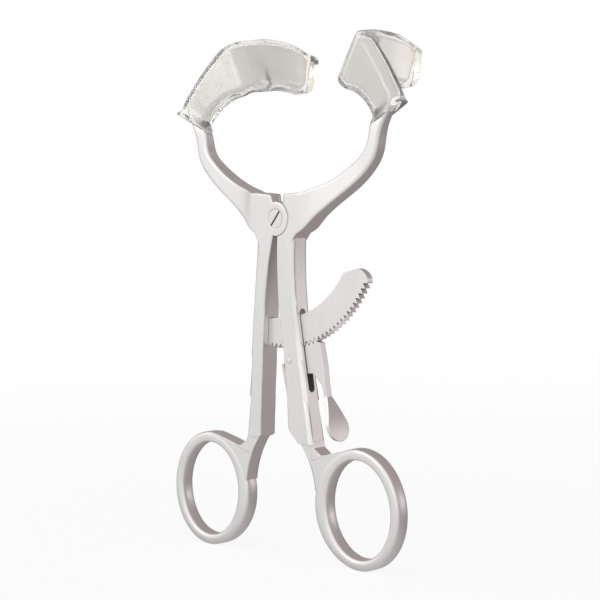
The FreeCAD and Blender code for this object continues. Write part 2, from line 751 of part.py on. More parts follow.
def make_bar():
    """Curved ratchet bar with its row of teeth and the square tab in the left shank."""
    body = new_body("ratchet_bar")
    middle_angle = "bar_end_angle / 2"
    tab = outward("left", [
        ("tab_start_x", "tab_low_z"),
        ("tab_depth_x", "tab_low_z"),
        ("tab_depth_x", "tab_high_z"),
        ("tab_start_x", "tab_high_z"),
    ])
    points = tab[:]
    points.append(polar("bar_inner_radius", "0"))
    points.append(polar("bar_inner_radius", middle_angle) + ("arc",))
    points.append(polar("bar_inner_radius", "bar_end_angle - bar_nose_angle"))
    points.append(polar("bar_inner_radius + bar_nose_depth", "bar_end_angle - 0.6"))
    points.append(polar("bar_end_radius", "bar_end_angle + 0.2") + ("arc",))
    points.append(polar("bar_tip_radius - bar_corner_cut", "bar_end_angle - 1.4"))
    points.append(polar("bar_tip_radius", "bar_end_angle - 2.8"))
    points.append(polar("bar_tip_radius", middle_angle) + ("arc",))
    points.append(polar("bar_tip_radius", "-6"))
    extrude(body, "Pad", outline(new_sketch(body, "bar_sketch"), points), "bar_pad", "bar_thick")
    spread = "(tooth_half_width / bar_tip_radius * 180 / pi)"
    over = "(bar_tip_radius + tooth_depth / 2)"
    wide = spread + " * 1.5"
    gap = outline(new_sketch(body, "gap_sketch"), [
        polar("bar_tip_radius - tooth_depth", "last_gap_angle"),
        polar(over, "last_gap_angle + " + wide),
        polar(over, "last_gap_angle - " + wide),
    ])
    cut = extrude(body, "Pocket", gap, "first_gap")
    pattern = body.newObject("PartDesign::PolarPattern", "gaps")
    pattern.Originals = [cut]
    y_axis = [entry for entry in body.Origin.OriginFeatures if entry.Role == "Y_Axis"][0]
    pattern.Axis = (y_axis, [""])
    bind(pattern, "Occurrences", "gap_count")
    bind(pattern, "Angle", "tooth_pitch_angle * (gap_count - 1)")
    body.Tip = pattern
    doc.recompute()
    pin = circle(new_sketch(body, "bar_pin_sketch"), ("-bar_pin_x", "bar_pin_z"), "bar_pin_radius")
    extrude(body, "Pocket", pin, "bar_pin_hole")
    return body


def make_pin(name, centre, radius, dome=None):
    """Pin along Y, as long as the steel is thick, with a domed end at the front where one is asked for."""
    body = new_body(name)
    pin = circle(new_sketch(body, name + "_sketch"), centre, radius)
    extrude(body, "Pad", pin, name + "_pad", "steel_thick")
    if dome is not None:
        cap = circle(new_sketch(body, name + "_cap_sketch", lift="steel_thick / 2"), centre, radius)
        extrude(body, "Pad", cap, name + "_cap", dome, both=False)
        front = size("-steel_thick / 2 - " + dome)
        round_edges(body, name + "_dome", dome + " * 0.9", lambda edge: abs(middle_of(edge).y - front) < 1e-4)
    return body


# Release lever and leaf spring

def tooth_angle(number):
    return "(last_gap_angle - tooth_pitch_angle * (lever_first_gap + %d))" % number


def tooth_reach(number):
    """Depth of one lever tooth: as much as the lever's travel can lift out of the bar."""
    angle = tooth_angle(number)
    across = "(bar_tip_radius * sin(%s) - lever_pin_x)" % angle
    down = "(-bar_tip_radius * cos(%s) - %s)" % (angle, LEVER_PIN[1])
    lift = "(%s * cos(%s) + %s * sin(%s)) * lever_release * pi / 180" % (across, angle, down, angle)
    full = "tooth_depth - mesh_clearance"
    return "min(%s; %s)" % (full, "(" + lift + ") * 0.92")


def make_lever():
    """Toothed plate on its pin, with a heel for the spring and a thumb paddle below."""
    plate = new_body("lever_plate")
    body_radius = "bar_tip_radius + mesh_clearance"
    half_tooth = "(tooth_half_width / bar_tip_radius * 180 / pi * lever_tooth_share)"
    pin_z = LEVER_PIN[1]
    points = [
        ("heel_x", pin_z + " - heel_low_drop"),
        ("heel_x", pin_z + " - heel_high_drop"),
        ("lever_pin_x - lever_boss_radius", pin_z + " - lever_collar"),
        ("lever_pin_x - lever_boss_radius * 0.7071", pin_z + " + lever_boss_radius * 0.7071", "arc"),
        ("lever_pin_x + lever_collar", pin_z + " + lever_boss_radius"),
    ]
    for number in reversed(range(size_count("lever_tooth_count"))):
        angle = tooth_angle(number)
        points.append(polar(body_radius, angle + " - " + half_tooth))
        points.append(polar("bar_tip_radius - " + tooth_reach(number), angle))
        points.append(polar(body_radius, angle + " + " + half_tooth))
    points += [
        polar("bar_tip_radius + shoulder_drop", tooth_angle(0) + " + shoulder_angle"),
        ("lever_side_x", pin_z + " - lever_side_drop"),
        ("neck_x", pin_z + " - neck_drop"),
        ("paddle_top_x + paddle_thick / 2", "paddle_top_z"),
        ("paddle_top_x - paddle_thick / 2", "paddle_top_z"),
        ("neck_x - neck_width", pin_z + " - neck_drop"),
        ("lever_belly_x", pin_z + " - lever_belly_drop"),
    ]
    extrude(plate, "Pad", outline(new_sketch(plate, "lever_sketch"), points), "lever_pad", "lever_thick")
    hole = circle(new_sketch(plate, "lever_hole_sketch"), LEVER_PIN, "lever_pin_radius + lever_pin_clearance")
    extrude(plate, "Pocket", hole, "lever_hole")

    band = new_body("paddle_band")
    half = "paddle_thick / 2"
    curve = [
        ("paddle_top_x + " + half, "paddle_top_z"),
        ("paddle_mid_x + " + half, "paddle_mid_z", "arc"),
        ("paddle_end_x + " + half, "paddle_end_z"),
        ("paddle_end_x - " + half, "paddle_end_z"),
        ("paddle_mid_x - " + half, "paddle_mid_z", "arc"),
        ("paddle_top_x - " + half, "paddle_top_z"),
    ]
    extrude(band, "Pad", outline(new_sketch(band, "band_sketch"), curve), "band_pad", "2 * paddle_round")

    face = new_body("paddle_face")
    middle = "(paddle_end_z + paddle_round)"
    shape = [
        ("lever_thick / 2", "paddle_top_z"),
        ("paddle_round * 0.85", middle + " + paddle_round * 0.53"),
        ("paddle_round", middle, "arc"),
        ("paddle_round * 0.7071", middle + " - paddle_round * 0.7071"),
        ("0", "paddle_end_z", "arc"),
        ("-paddle_round * 0.7071", middle + " - paddle_round * 0.7071"),
        ("-paddle_round", middle, "arc"),
        ("-paddle_round * 0.85", middle + " + paddle_round * 0.53"),
        ("-lever_thick / 2", "paddle_top_z"),
    ]
    extrude(face, "Pad", outline(new_sketch(face, "face_sketch", "YZ_Plane"), shape), "face_pad",
            "2 * paddle_end_x + 10")
    paddle = doc.addObject("Part::MultiCommon", "paddle")
    paddle.Shapes = [band, face]
    lever = doc.addObject("Part::MultiFuse", "pawl_lever")
    lever.Shapes = [plate, paddle]
    doc.recompute()
    return lever


def size_count(name):
    return int(round(size(name)))


def make_leaf(half):
    """Flat spring on the inner face of the right shank, its free end lifted off the steel."""
    body = new_body("leaf_blank")
    foot = "right_inner_heel"
    touch = "(heel_x - leaf_gap)"
    heel_low = LEVER_PIN[1] + " - heel_low_drop"
    top = LEVER_PIN[1] + " - leaf_top_drop"
    points = [
        (foot + " + leaf_overlap", "leaf_foot_z"),
        (foot + " + leaf_overlap / 4", "leaf_bend_z"),
        (touch, heel_low, "arc"),
        (touch + " - leaf_lift", top),
        (touch + " - leaf_lift - leaf_thick", top),
        (touch + " - leaf_thick * 1.1", heel_low, "arc"),
        (foot + " - leaf_thick * 1.3", "leaf_bend_z"),
        (foot + " - leaf_thick", "leaf_foot_z"),
    ]
    extrude(body, "Pad", outline(new_sketch(body, "leaf_sketch"), points), "leaf_pad", "leaf_width")
    trimmed = doc.addObject("Part::Cut", "leaf_on_shank")
    trimmed.Base = body
    trimmed.Tool = half
    return trimmed


def make_rivet():
    """Low-headed rivet that holds the foot of the leaf spring."""
    body = new_body("leaf_spring_rivet")
    face = "(right_inner_heel - leaf_thick)"
    shaft = circle(new_sketch(body, "rivet_sketch", "YZ_Plane", lift=face), ("0", "rivet_z"), "rivet_radius")
    extrude(body, "Pad", shaft, "rivet_shaft", "leaf_thick + rivet_length", both=False)
    head = circle(new_sketch(body, "rivet_head_sketch", "YZ_Plane", lift=face), ("0", "rivet_z"),
                  "rivet_head_radius")
    extrude(body, "Pad", head, "rivet_head", "rivet_head_thick", both=False, reverse=True)
    front = size(face + " - rivet_head_thick")
    round_edges(body, "rivet_dome", "rivet_head_thick * 0.8",
                lambda edge: abs(middle_of(edge).x - front) < 1e-4)
    return body


def make_cut(name, base, tool):
    cut = doc.addObject("Part::Cut", name)
    cut.Base = base
    cut.Tool = tool
    doc.recompute()
    return cut


left_half = make_half("left")
right_half = make_half("right")
pieces = {
    "left_half": left_half,
    "right_half": right_half,
    "pivot_screw": make_screw(),
    "ratchet_bar": make_bar(),
    "ratchet_bar_pin": make_pin("ratchet_bar_pin", ("-bar_pin_x", "bar_pin_z"), "bar_pin_radius"),
    "pawl_lever": make_lever(),
    "pawl_pin": make_pin("pawl_pin", LEVER_PIN, "lever_pin_radius", "lever_pin_dome"),
    "leaf_spring_rivet": make_rivet(),
}
pieces["leaf_spring"] = make_cut("leaf_spring", make_leaf(right_half), pieces["leaf_spring_rivet"])
for side, half in (("left", left_half), ("right", right_half)):
    outside = part_feature(side + "_sleeve_outside", sleeve_shape(side))
    name = side + "_blade_sleeve"
    pieces[name] = make_cut(name, outside, half)

doc.recompute()
for thing in doc.Objects:
    if "Invalid" in thing.State or "Error" in thing.State:
        raise RuntimeError("failed: " + thing.Name)

os.makedirs("parts", exist_ok=True)
for name, piece in pieces.items():
    piece.Label = name
    shape = piece.Shape
    if shape.isNull() or not shape.isValid():
        raise RuntimeError("bad shape: " + name)
    counts = (name, len(shape.Solids), shape.Volume, len(shape.Faces))
    print("%-20s solids %d  volume %9.3f  faces %d" % counts)
    shape.exportStep(os.path.join("parts", name + ".step"))
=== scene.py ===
"""Looks of a ratcheting mouth gag: satin steel halves and two translucent silicone sleeves."""

import math

import bmesh
import bpy
from mathutils import Matrix, Vector
from mathutils.bvhtree import BVHTree


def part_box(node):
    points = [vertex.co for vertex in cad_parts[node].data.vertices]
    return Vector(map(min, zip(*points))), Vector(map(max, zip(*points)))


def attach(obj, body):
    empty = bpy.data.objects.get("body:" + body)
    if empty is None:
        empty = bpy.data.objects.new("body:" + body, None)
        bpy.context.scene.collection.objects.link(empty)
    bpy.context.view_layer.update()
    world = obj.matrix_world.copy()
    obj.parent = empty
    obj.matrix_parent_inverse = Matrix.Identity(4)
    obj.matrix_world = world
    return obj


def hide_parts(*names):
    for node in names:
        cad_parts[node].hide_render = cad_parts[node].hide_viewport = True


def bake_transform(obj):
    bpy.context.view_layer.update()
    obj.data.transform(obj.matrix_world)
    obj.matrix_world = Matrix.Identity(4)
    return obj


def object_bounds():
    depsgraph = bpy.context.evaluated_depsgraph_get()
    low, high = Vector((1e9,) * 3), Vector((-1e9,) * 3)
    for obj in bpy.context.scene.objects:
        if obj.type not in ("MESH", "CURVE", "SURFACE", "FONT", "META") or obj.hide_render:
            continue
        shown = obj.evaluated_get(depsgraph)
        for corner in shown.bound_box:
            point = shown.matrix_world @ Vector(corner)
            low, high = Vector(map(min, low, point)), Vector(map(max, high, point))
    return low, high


bl_info = {
    "name": "Mouth gag looks",
    "version": (1, 0, 0),
    "blender": (4, 5, 0),
    "location": "3D View > Sidebar > Mouth gag",
    "description": "Finishes for the steel pieces, silicone sleeves, and the studio stage",
    "category": "Object",
}

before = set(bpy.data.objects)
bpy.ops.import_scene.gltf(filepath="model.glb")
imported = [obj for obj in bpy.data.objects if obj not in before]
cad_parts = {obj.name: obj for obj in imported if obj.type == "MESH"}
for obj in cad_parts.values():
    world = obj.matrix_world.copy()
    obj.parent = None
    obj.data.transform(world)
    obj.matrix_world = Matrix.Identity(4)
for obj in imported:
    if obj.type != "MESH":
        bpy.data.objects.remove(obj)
CAD_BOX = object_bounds()

MM = 0.001
IMAGE_PIXELS = 600
SENSOR_WIDTH = 36.0

STEEL_NODES = (
    "left_half",
    "right_half",
    "ratchet_bar",
    "ratchet_bar_pin",
    "pawl_lever",
)
POLISHED_NODES = ("pivot_screw", "pawl_pin", "leaf_spring_rivet")
HALVES = (("left", -1.0), ("right", 1.0))
SLEEVES = (
    ("left_blade_sleeve", "left", "left_silicone_sleeve"),
    ("right_blade_sleeve", "right", "right_silicone_sleeve"),
)

MERGE_DISTANCE = 0.002 * MM
LEAF_CUTS = 12

RING_STEPS = 120
SECTION_POINTS = 16
SWELL_ANGLE = 72.0
SMOOTH_ANGLE = math.radians(35)
CORNER_STEPS = 10
CORNER_BOW = 0.12
CORNER_POINTS = ((11.4, -63.0), (11.7, -58.9), (19.6, -60.25))

CLOUD_SCALE = 90.0
LINE_SCALE = 2600.0
LINE_STRETCH = 0.04
LINE_HEIGHT = 0.4
PIT_DEPTH = 0.05 * MM
EDGE_SAMPLES = 6
# Edges: a painted highlight lifts their colour, and the real polish of wear lowers their roughness
EDGE_PAINTED_HIGHLIGHT = 0.05
EDGE_SMOOTHER = 0.10
# Reach and strength of the painted shade that darkens the steel's colour in recesses, where shade falls
RECESS_REACH = 0.8 * MM
PAINTED_RECESS_SHADE = 0.55
ARM_START, ARM_FULL = -8.0 * MM, 3.0 * MM
RING_START, RING_FULL = -61.0 * MM, -65.0 * MM

SILICONE_IOR = 1.41
SILICONE_CLOUD_SCALE = 160.0
SILICONE_ROUGHNESS = (0.10, 0.26)
TINT_RISE = (6.5 * MM, 3.4 * MM)
TINT_FALL = (3.2 * MM, 1.6 * MM)
SOFTENING_ROUNDS = 20
STEEL_REACH = 1.0 * MM
INSIDE_SHARE = -0.5

WHITE = (1.0, 1.0, 1.0)
WHITE_CARD = (1.12, 1.12, 1.12)
GREY_CARD = (0.40, 0.355, 0.352)
GREY_CARD_SIDE = (-0.05, 0.99, 0.0)
GREY_FROM, GREY_TO = -0.45, 0.40
FLOOR_RADIUS = 20.0
FLOOR_DROP = 0.05 * MM
FLOOR_PAINT = 0.9
FLOOR_SHADE = 0.72
GLOW_NEAR, GLOW_FAR = 0.10, 0.60
GLOW_SHARES = (0.88, 1.0)
LAMPS = (
    ("softbox", (-0.45, -0.75, 0.45), 0.5, 0.7),
    ("side lamp", (0.62, 0.70, -0.04), 0.4, 0.5),
)


class SteelLooks(bpy.types.PropertyGroup):
    """Finish of the steel pieces"""

    colour: bpy.props.FloatVectorProperty(
        name="Steel colour",
        description="Colour of the satin steel in its lit faces",
        subtype="COLOR",
        size=3,
        min=0.0,
        max=1.0,
        default=(0.79, 0.768, 0.764),
    )
    roughness: bpy.props.FloatProperty(
        name="Satin roughness",
        description="Spread of the reflections on the blasted faces",
        min=0.0,
        max=1.0,
        default=0.36,
    )
    grain: bpy.props.FloatProperty(
        name="Grain size",
        description="Width of one pit of the blasted surface",
        subtype="DISTANCE",
        default=0.22 * MM,
    )
    edge_radius: bpy.props.FloatProperty(
        name="Edge rounding",
        description="Radius to which tumbling has rounded the sharp edges",
        subtype="DISTANCE",
        default=0.22 * MM,
    )
    arm_radius: bpy.props.FloatProperty(
        name="Arm and ring rounding",
        description="Larger radius to which the arms and finger rings are ground",
        subtype="DISTANCE",
        default=0.9 * MM,
    )


class RingLooks(bpy.types.PropertyGroup):
    """Shape of the ground band round each finger ring"""

    centre: bpy.props.FloatVectorProperty(
        name="Ring centre",
        description="Middle of the right finger ring",
        subtype="TRANSLATION",
        size=3,
        default=(26.9 * MM, 0.0, -74.17 * MM),
    )
    half_width: bpy.props.FloatProperty(
        name="Half width",
        description="From the ring's centre to the middle of its bar, across",
        subtype="DISTANCE",
        default=12.23 * MM,
    )
    half_height: bpy.props.FloatProperty(
        name="Half height",
        description="From the ring's centre to the middle of its bar, upright",
        subtype="DISTANCE",
        default=14.24 * MM,
    )
    tilt: bpy.props.FloatProperty(
        name="Tilt",
        description="Lean of the ring's long axis towards the other half at the top",
        subtype="ANGLE",
        default=math.radians(5.2),
    )
    bar: bpy.props.FloatProperty(
        name="Bar width",
        description="Width of the ring's bar in the plane of the ring",
        subtype="DISTANCE",
        default=2.87 * MM,
    )
    depth: bpy.props.FloatProperty(
        name="Bar depth",
        description="Depth of the ring's bar from front to back",
        subtype="DISTANCE",
        default=4.34 * MM,
    )
    rounding: bpy.props.FloatProperty(
        name="Rounding",
        description="Radius along the edges of the ring's bar",
        subtype="DISTANCE",
        default=0.75 * MM,
    )
    swell: bpy.props.FloatProperty(
        name="Swell",
        description="How much wider the bar is where the shank runs into it",
        subtype="DISTANCE",
        default=1.05 * MM,
    )


class SleeveLooks(bpy.types.PropertyGroup):
    """Shape and finish of the silicone sleeves"""

    colour: bpy.props.FloatVectorProperty(
        name="Silicone colour",
        description="Milky colour of the sleeves",
        subtype="COLOR",
        size=3,
        min=0.0,
        max=1.0,
        default=(0.965, 0.96, 0.935),
    )
    end_tint: bpy.props.FloatVectorProperty(
        name="Tint at the blade's end",
        description="Slightly yellow colour where the steel ends inside the sleeve",
        subtype="COLOR",
        size=3,
        min=0.0,
        max=1.0,
        default=(0.95, 0.91, 0.80),
    )
    clearness: bpy.props.FloatProperty(
        name="Clearness",
        description="Share of the light that passes one face of the milky silicone",
        min=0.0,
        max=1.0,
        default=0.94,
    )
    cell: bpy.props.FloatProperty(
        name="Moulded cell",
        description="Size of the cells from which the soft rounded wall is made",
        subtype="DISTANCE",
        default=0.22 * MM,
    )
    inner_gap: bpy.props.FloatProperty(
        name="Inner gap",
        description="Air between a sleeve and the steel inside it",
        subtype="DISTANCE",
        default=0.05 * MM,
    )


class StageLooks(bpy.types.PropertyGroup):
    """Camera, floor and studio light"""

    azimuth: bpy.props.FloatProperty(
        name="Azimuth",
        description="Camera's turn about the upright axis, from the front",
        subtype="ANGLE",
        default=math.radians(43.0),
    )
    elevation: bpy.props.FloatProperty(
        name="Elevation",
        description="Camera's height angle",
        subtype="ANGLE",
        default=math.radians(3.661),
    )
    roll: bpy.props.FloatProperty(
        name="Roll",
        description="Camera's turn about its own view axis",
        subtype="ANGLE",
        default=math.radians(-0.651),
    )
    distance: bpy.props.FloatProperty(
        name="Distance",
        description="From the camera to the pivot, along the view axis",
        subtype="DISTANCE",
        default=467.33 * MM,
    )
    focal_pixels: bpy.props.FloatProperty(
        name="Focal length in pixels",
        description="Focal length as a count of the photograph's pixels",
        default=1775.85,
    )
    pivot_right: bpy.props.FloatProperty(
        name="Pivot to the right",
        description="Where the pivot appears, in pixels right of the picture's middle",
        default=-17.637,
    )
    pivot_up: bpy.props.FloatProperty(
        name="Pivot up",
        description="Where the pivot appears, in pixels above the picture's middle",
        default=81.418,
    )


def node_link(tree, source, output, target, socket):
    tree.links.new(source.outputs[output], target.inputs[socket])


def math_node(tree, operation, first, second):
    """A sum, product or the like of two numbers, each a value or another node's socket."""
    node = tree.nodes.new("ShaderNodeMath")
    node.operation = operation
    for place, given in enumerate((first, second)):
        if isinstance(given, (int, float)):
            node.inputs[place].default_value = given
        else:
            tree.links.new(given, node.inputs[place])
    return node.outputs["Value"]


def range_node(tree, value, from_min, from_max, to_min, to_max):
    """A smooth step of a value between two limits."""
    node = tree.nodes.new("ShaderNodeMapRange")
    node.interpolation_type = "SMOOTHSTEP"
    node.inputs["From Min"].default_value = from_min
    node.inputs["From Max"].default_value = from_max
    node.inputs["To Min"].default_value = to_min
    node.inputs["To Max"].default_value = to_max
    tree.links.new(value, node.inputs["Value"])
    return node.outputs["Result"]


def mix_node(tree, factor, first, second):
    """A blend of two colours, each a colour or another node's socket."""
    node = tree.nodes.new("ShaderNodeMix")
    node.data_type = "RGBA"
    tree.links.new(factor, node.inputs["Factor"])
    colours = [socket for socket in node.inputs if socket.type == "RGBA"]
    for socket, given in zip(colours, (first, second)):
        if isinstance(given, bpy.types.NodeSocket):
            tree.links.new(given, socket)
        else:
            socket.default_value = (*given, 1.0)
    return [socket for socket in node.outputs if socket.type == "RGBA"][0]


def new_group(name, inputs, outputs):
    """An empty node group with named inputs (name, kind, value) and outputs (name, kind)."""
    tree = bpy.data.node_groups.new(name, "ShaderNodeTree")
    for label, kind, value in inputs:
        socket = tree.interface.new_socket(label, in_out="INPUT", socket_type=kind)
        if value is not None:
            socket.default_value = value
    for label, kind in outputs:
        tree.interface.new_socket(label, in_out="OUTPUT", socket_type=kind)
    return tree, tree.nodes.new("NodeGroupInput"), tree.nodes.new("NodeGroupOutput")


def noise(tree, vector, scale, detail):
    """Fractal noise between 0 and 1; the scale is a number or another node's socket."""
    node = tree.nodes.new("ShaderNodeTexNoise")
    node.inputs["Detail"].default_value = detail
    tree.links.new(vector, node.inputs["Vector"])
    if isinstance(scale, bpy.types.NodeSocket):
        tree.links.new(scale, node.inputs["Scale"])
    else:
        node.inputs["Scale"].default_value = scale
    return node.outputs["Fac"]


def blast_group():
    """Node group of blasted steel: fine pits, faint lines of the grinding under them, cloudy patches."""
    name = "Blasted surface"
    if name in bpy.data.node_groups:
        return bpy.data.node_groups[name]
    number = "NodeSocketFloat"
    tree, start, end = new_group(
        name,
        (
            ("Vector", "NodeSocketVector", None),
            ("Pit scale", number, 4000.0),
            ("Cloud strength", number, 0.06),
            ("Line strength", number, 0.08),
        ),
        (("Shade", number), ("Height", number)),
    )
    place = start.outputs["Vector"]
    pits = noise(tree, place, start.outputs["Pit scale"], 2.0)
    clouds = noise(tree, place, CLOUD_SCALE, 4.0)
    stretch = tree.nodes.new("ShaderNodeVectorMath")
    stretch.operation = "MULTIPLY"
    stretch.inputs[1].default_value = (1.0, 1.0, LINE_STRETCH)
    tree.links.new(place, stretch.inputs[0])
    lines = noise(tree, stretch.outputs["Vector"], LINE_SCALE, 3.0)
    centred_clouds = math_node(tree, "SUBTRACT", clouds, 0.5)
    centred_lines = math_node(tree, "SUBTRACT", lines, 0.5)
    cloudy = math_node(tree, "MULTIPLY", centred_clouds, start.outputs["Cloud strength"])
    lined = math_node(tree, "MULTIPLY", centred_lines, start.outputs["Line strength"])
    shade = math_node(tree, "ADD", math_node(tree, "ADD", cloudy, lined), 1.0)
    tree.links.new(shade, end.inputs["Shade"])
    low_lines = math_node(tree, "MULTIPLY", lines, LINE_HEIGHT)
    tree.links.new(math_node(tree, "ADD", pits, low_lines), end.inputs["Height"])
    return tree


def edge_group():
    """Node group of tumbled edges and painted shade: a normal that rounds the edges, a mask of the edges
    for their wear and painted highlight, and a mask of the painted shade in the recesses.
    """
    name = "Tumbled edges"
    if name in bpy.data.node_groups:
        return bpy.data.node_groups[name]
    tree, start, end = new_group(
        name,
        (("Radius", "NodeSocketFloat", 0.2 * MM),),
        (("Normal", "NodeSocketVector"), ("Mask", "NodeSocketFloat"), ("Painted recess shade", "NodeSocketFloat")),
    )
    # Ambient occlusion gives the mask of painted shade: darker colour in slots, tooth roots and joint
    # gaps
    recess = tree.nodes.new("ShaderNodeAmbientOcclusion")
    recess.samples = EDGE_SAMPLES
    recess.only_local = True
    recess.inputs["Distance"].default_value = RECESS_REACH
    painted_shade_mask = range_node(tree, recess.outputs["AO"], 0.25, 0.80, 1.0, 0.0)
    tree.links.new(painted_shade_mask, end.inputs["Painted recess shade"])
    bevel = tree.nodes.new("ShaderNodeBevel")
    bevel.samples = EDGE_SAMPLES
    tree.links.new(start.outputs["Radius"], bevel.inputs["Radius"])
    face = tree.nodes.new("ShaderNodeNewGeometry")
    match = tree.nodes.new("ShaderNodeVectorMath")
    match.operation = "DOT_PRODUCT"
    node_link(tree, bevel, "Normal", match, 0)
    node_link(tree, face, "Normal", match, 1)
    turned_away = range_node(tree, match.outputs["Value"], 0.75, 0.99, 1.0, 0.0)
    tree.links.new(turned_away, end.inputs["Mask"])
    tree.links.new(bevel.outputs["Normal"], end.inputs["Normal"])
    return tree


def ground_radius(tree, place, looks):
    """The edges' radius by height: small on the shanks, larger on the arms above and the rings below."""
    apart = tree.nodes.new("ShaderNodeSeparateXYZ")
    node_link(tree, place, "Object", apart, "Vector")
    more = looks.arm_radius - looks.edge_radius
    arms = range_node(tree, apart.outputs["Z"], ARM_START, ARM_FULL, 0.0, more)
    rings = range_node(tree, apart.outputs["Z"], RING_START, RING_FULL, 0.0, more)
    return math_node(tree, "ADD", math_node(tree, "ADD", arms, rings), looks.edge_radius)


def steel_material(name, looks, colour, roughness, bump, clouds, lines, ground=False):
    """Satin steel: blasted pits in its normal, cloudy patches in its colour and gloss, edges smoothed by
    wear and painted brighter as a highlight, and painted shade in its recesses.
    """
    material = bpy.data.materials.new(name)
    material.use_nodes = True
    tree = material.node_tree
    shader = tree.nodes["Principled BSDF"]
    shader.inputs["Metallic"].default_value = 1.0
    place = tree.nodes.new("ShaderNodeTexCoord")
    surface = tree.nodes.new("ShaderNodeGroup")
    surface.node_tree = blast_group()
    surface.inputs["Pit scale"].default_value = 1.0 / looks.grain
    surface.inputs["Cloud strength"].default_value = clouds
    surface.inputs["Line strength"].default_value = lines
    node_link(tree, place, "Object", surface, "Vector")
    edges = tree.nodes.new("ShaderNodeGroup")
    edges.node_tree = edge_group()
    edges.inputs["Radius"].default_value = looks.edge_radius
    if ground:
        tree.links.new(ground_radius(tree, place, looks), edges.inputs["Radius"])
    mask = edges.outputs["Mask"]
    # Painted highlight: the colour is lifted on the worn edges; their lower roughness below is the real
    # polish
    painted_highlight = math_node(tree, "MULTIPLY", mask, EDGE_PAINTED_HIGHLIGHT)
    # Painted shade: the steel's colour is darkened in the recesses
    painted_shade = math_node(tree, "MULTIPLY", edges.outputs["Painted recess shade"], PAINTED_RECESS_SHADE)
    tone_and_highlight = math_node(tree, "ADD", surface.outputs["Shade"], painted_highlight)
    shade = math_node(tree, "SUBTRACT", tone_and_highlight, painted_shade)
    tint = tree.nodes.new("ShaderNodeVectorMath")
    tint.operation = "SCALE"
    tint.inputs[0].default_value = colour
    tree.links.new(shade, tint.inputs["Scale"])
    tree.links.new(tint.outputs["Vector"], shader.inputs["Base Color"])
    rough = math_node(tree, "MULTIPLY", surface.outputs["Shade"], roughness)
    worn = math_node(tree, "SUBTRACT", rough, math_node(tree, "MULTIPLY", mask, EDGE_SMOOTHER))
    tree.links.new(worn, shader.inputs["Roughness"])
    relief = tree.nodes.new("ShaderNodeBump")
    relief.inputs["Strength"].default_value = bump
    relief.inputs["Distance"].default_value = PIT_DEPTH
    node_link(tree, surface, "Height", relief, "Height")
    node_link(tree, edges, "Normal", relief, "Normal")
    tree.links.new(relief.outputs["Normal"], shader.inputs["Normal"])
    return material


def silicone_material(looks, tip):
    """Clear milky silicone that bends the light, faintly yellow where the steel ends inside it."""
    material = bpy.data.materials.new("silicone")
    material.use_nodes = True
    tree = material.node_tree
    shader = tree.nodes["Principled BSDF"]
    shader.inputs["IOR"].default_value = SILICONE_IOR
    shader.inputs["Transmission Weight"].default_value = looks.clearness
    place = tree.nodes.new("ShaderNodeTexCoord")
    apart = tree.nodes.new("ShaderNodeSeparateXYZ")
    node_link(tree, place, "Object", apart, "Vector")
    depth = apart.outputs["Y"]
    near_end = range_node(tree, depth, tip - TINT_RISE[0], tip - TINT_RISE[1], 0.0, 1.0)
    past_end = range_node(tree, depth, tip - TINT_FALL[0], tip - TINT_FALL[1], 1.0, 0.0)
    yellow = math_node(tree, "MULTIPLY", near_end, past_end)
    tree.links.new(mix_node(tree, yellow, looks.colour, looks.end_tint), shader.inputs["Base Color"])
    clouds = noise(tree, place.outputs["Object"], SILICONE_CLOUD_SCALE, 3.0)
    rough = range_node(tree, clouds, 0.0, 1.0, *SILICONE_ROUGHNESS)
    tree.links.new(rough, shader.inputs["Roughness"])
    return material


def cover_node(name, material):
    """Puts one material on all of a steel node."""
    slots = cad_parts[name].data.materials
    slots.clear()
    slots.append(material)


class GAG_OT_steel(bpy.types.Operator):
    """Finish the forged halves, the bar and the lever in satin steel"""

    bl_idname = "gag.steel"
    bl_label = "Satin steel"

    def execute(self, context):
        looks = context.scene.gag_steel
        satin = steel_material(
            "satin_steel",
            looks,
            looks.colour,
            looks.roughness,
            bump=0.25,
            clouds=0.08,
            lines=0.10,
            ground=True,
        )
        for name in STEEL_NODES:
            cover_node(name, satin)
        return {"FINISHED"}


class GAG_OT_fasteners(bpy.types.Operator):
    """Finish the screw, pins and rivet a little smoother than the forgings"""

    bl_idname = "gag.fasteners"
    bl_label = "Fasteners"

    def execute(self, context):
        looks = context.scene.gag_steel
        turned = steel_material(
            "turned_steel", looks, looks.colour, roughness=0.30, bump=0.12, clouds=0.05, lines=0.04
        )
        for name in POLISHED_NODES:
            cover_node(name, turned)
        return {"FINISHED"}


def copied_solid(context, node, name):
    """A piece with the merged mesh of one of the solids."""
    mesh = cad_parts[node].data.copy()
    mesh.name = name
    shape = bmesh.new()
    shape.from_mesh(mesh)
    bmesh.ops.remove_doubles(shape, verts=shape.verts, dist=MERGE_DISTANCE)
    bmesh.ops.recalc_face_normals(shape, faces=shape.faces)
    shape.to_mesh(mesh)
    shape.free()
    mesh.materials.clear()
    piece = bpy.data.objects.new(name, mesh)
    context.scene.collection.objects.link(piece)
    return piece


class GAG_OT_spring(bpy.types.Operator):
    """Make the leaf spring, cut across into bands along its height; the real spring bends when the lever
    is pressed
    """

    bl_idname = "gag.spring"
    bl_label = "Leaf spring"

    def execute(self, context):
        looks = context.scene.gag_steel
        rolled = [0.9 * part for part in looks.colour]
        strip = steel_material(
            "spring_steel", looks, rolled, roughness=0.32, bump=0.10, clouds=0.06, lines=0.14
        )
        low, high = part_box("leaf_spring")
        piece = copied_solid(context, "leaf_spring", "bending_leaf")
        shape = bmesh.new()
        shape.from_mesh(piece.data)
        for cut in range(1, LEAF_CUTS):
            height = low.z + (high.z - low.z) * cut / LEAF_CUTS
            bmesh.ops.bisect_plane(
                shape,
                geom=list(shape.verts) + list(shape.edges) + list(shape.faces),
                plane_co=(0.0, 0.0, height),
                plane_no=(0.0, 0.0, 1.0),
            )
        shape.to_mesh(piece.data)
        shape.free()
        piece.data.materials.append(strip)
        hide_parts("leaf_spring")
        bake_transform(piece)
        return {"FINISHED"}


